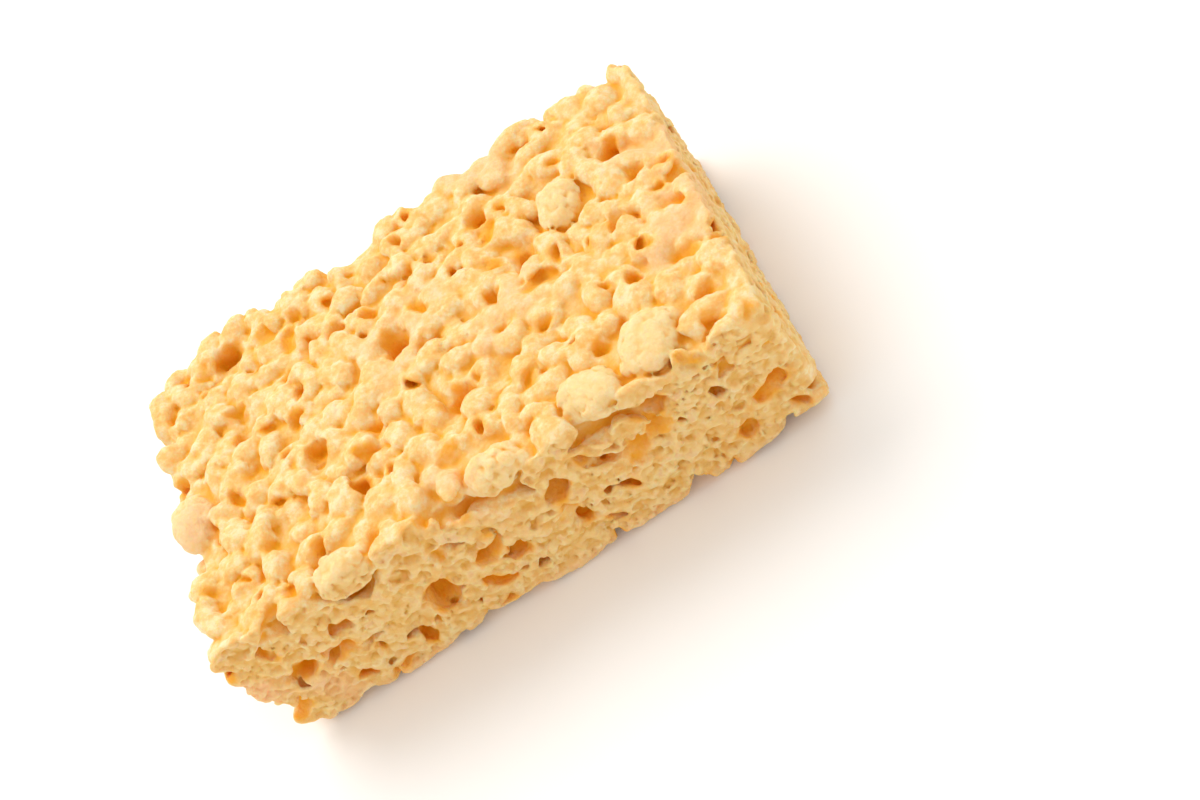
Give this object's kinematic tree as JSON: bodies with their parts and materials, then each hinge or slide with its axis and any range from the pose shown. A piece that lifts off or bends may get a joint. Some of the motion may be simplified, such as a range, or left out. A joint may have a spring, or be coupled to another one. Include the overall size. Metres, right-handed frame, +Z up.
{
  "type": "crisped rice treat",
  "caption": "Rectangular bar of puffed rice kernels bound with marshmallow, with rounded pan faces, two knife-cut sides and a flat underside.",
  "frame": {"origin": "centre of the bar's outline on the plane of its flat underside", "axes": "+X along the bar's length, -Y out of its long knife-cut side, +Z up from the underside"},
  "size_m": [0.07, 0.0446, 0.0215],
  "materials": {
    "treat": "pale golden puffed rice under a thin, slightly sticky marshmallow coat"
  },
  "bodies": {
    "root": {"crisped_rice_treat": "treat"}
  },
  "joints": []
}
